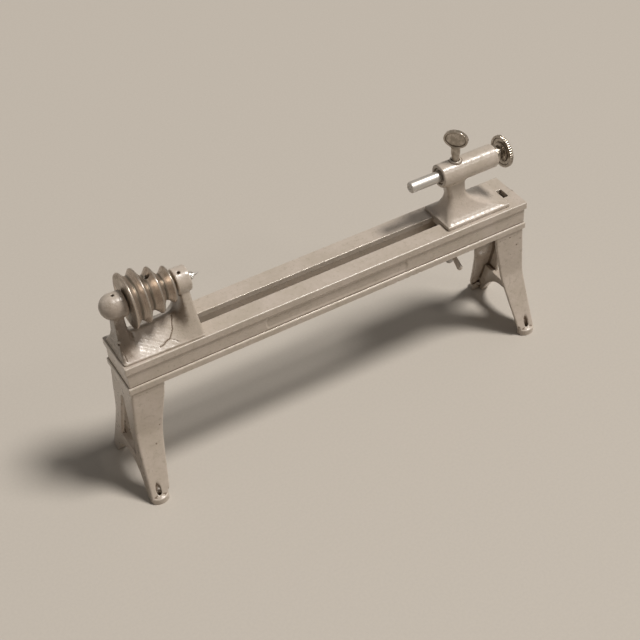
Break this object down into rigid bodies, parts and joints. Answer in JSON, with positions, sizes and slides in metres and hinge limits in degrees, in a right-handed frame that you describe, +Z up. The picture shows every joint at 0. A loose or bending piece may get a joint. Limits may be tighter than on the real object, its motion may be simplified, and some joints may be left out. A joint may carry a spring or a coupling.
{
  "type": "bench lathe",
  "caption": "Small wood-turning lathe: slotted cast bed on splayed legs, headstock with a stepped cone pulley, sliding tailstock with a quill, thumb screw and handwheel.",
  "frame": {"origin": "on the bench, below the middle of the bed", "axes": "+X along the bed from the headstock to the tailstock, +Z up, -Y towards the worker"},
  "size_m": [0.4096, 0.092, 0.2352],
  "materials": {
    "enamelled_casting": "warm grey enamel over a rough casting",
    "bright_steel": "turned and polished",
    "dark_iron": "turned, darkened with age",
    "nickel_plate": "worn nickel plate",
    "bearing_bronze": "plain bronze"
  },
  "bodies": {
    "frame": {"bed": "enamelled_casting", "left_leg": "enamelled_casting", "right_leg": "enamelled_casting", "leg_screw_left_front": "bright_steel", "leg_screw_left_back": "bright_steel", "leg_screw_right_front": "bright_steel", "leg_screw_right_back": "bright_steel", "headstock": "enamelled_casting", "headstock_clamp_plate": "bright_steel", "headstock_bolt_left": "bright_steel", "headstock_bolt_right": "bright_steel", "left_bearing_bush": "bearing_bronze", "right_bearing_bush": "bearing_bronze", "thrust_ball": "bright_steel"},
    "spindle": {"spindle": "bright_steel", "cone_pulley": "dark_iron", "pulley_set_screw": "dark_iron", "spur_centre": "bright_steel"},
    "tailstock": {"tailstock": "enamelled_casting", "quill_dog": "bright_steel", "tailstock_clamp_bolt": "bright_steel", "tailstock_clamp_plate": "dark_iron", "tailstock_clamp_washer": "bright_steel"},
    "handwheel": {"feed_screw": "bright_steel", "handwheel": "nickel_plate", "handwheel_pin": "bright_steel"},
    "quill": {"quill": "bright_steel", "cup_centre": "bright_steel"},
    "thumb_screw": {"thumb_screw": "nickel_plate"},
    "clamp_lever": {"clamp_lever": "enamelled_casting"}
  },
  "joints": [
    {"name": "spindle_spin", "type": "hinge", "parent": "frame", "child": "spindle", "pos_m": [-0.16, 0, 0.194], "axis": [1, 0, 0], "continuous": true},
    {"name": "tailstock_slide", "type": "slide", "parent": "frame", "child": "tailstock", "axis": [1, 0, 0], "range_m": [-0.185, 0.0075]},
    {"name": "handwheel_turn", "type": "hinge", "parent": "tailstock", "child": "handwheel", "pos_m": [0.18, 0, 0.194], "axis": [-1, 0, 0], "range_deg": [-2335, 2335]},
    {"name": "quill_slide", "type": "slide", "parent": "tailstock", "child": "quill", "axis": [-1, 0, 0], "range_m": [-0.013, 0.013]},
    {"name": "thumb_screw_turn", "type": "hinge", "parent": "tailstock", "child": "thumb_screw", "pos_m": [0.135, 0, 0.2], "axis": [0, 0, 1], "range_deg": [0, 360]},
    {"name": "clamp_lever_turn", "type": "hinge", "parent": "tailstock", "child": "clamp_lever", "pos_m": [0.1316, 0, 0.105], "axis": [0, 0, 1], "range_deg": [-170, 20]}
  ],
  "couplings": [
    {"joint": "quill_slide", "follows": "handwheel_turn", "m_per_rad": 0.00031831}
  ]
}
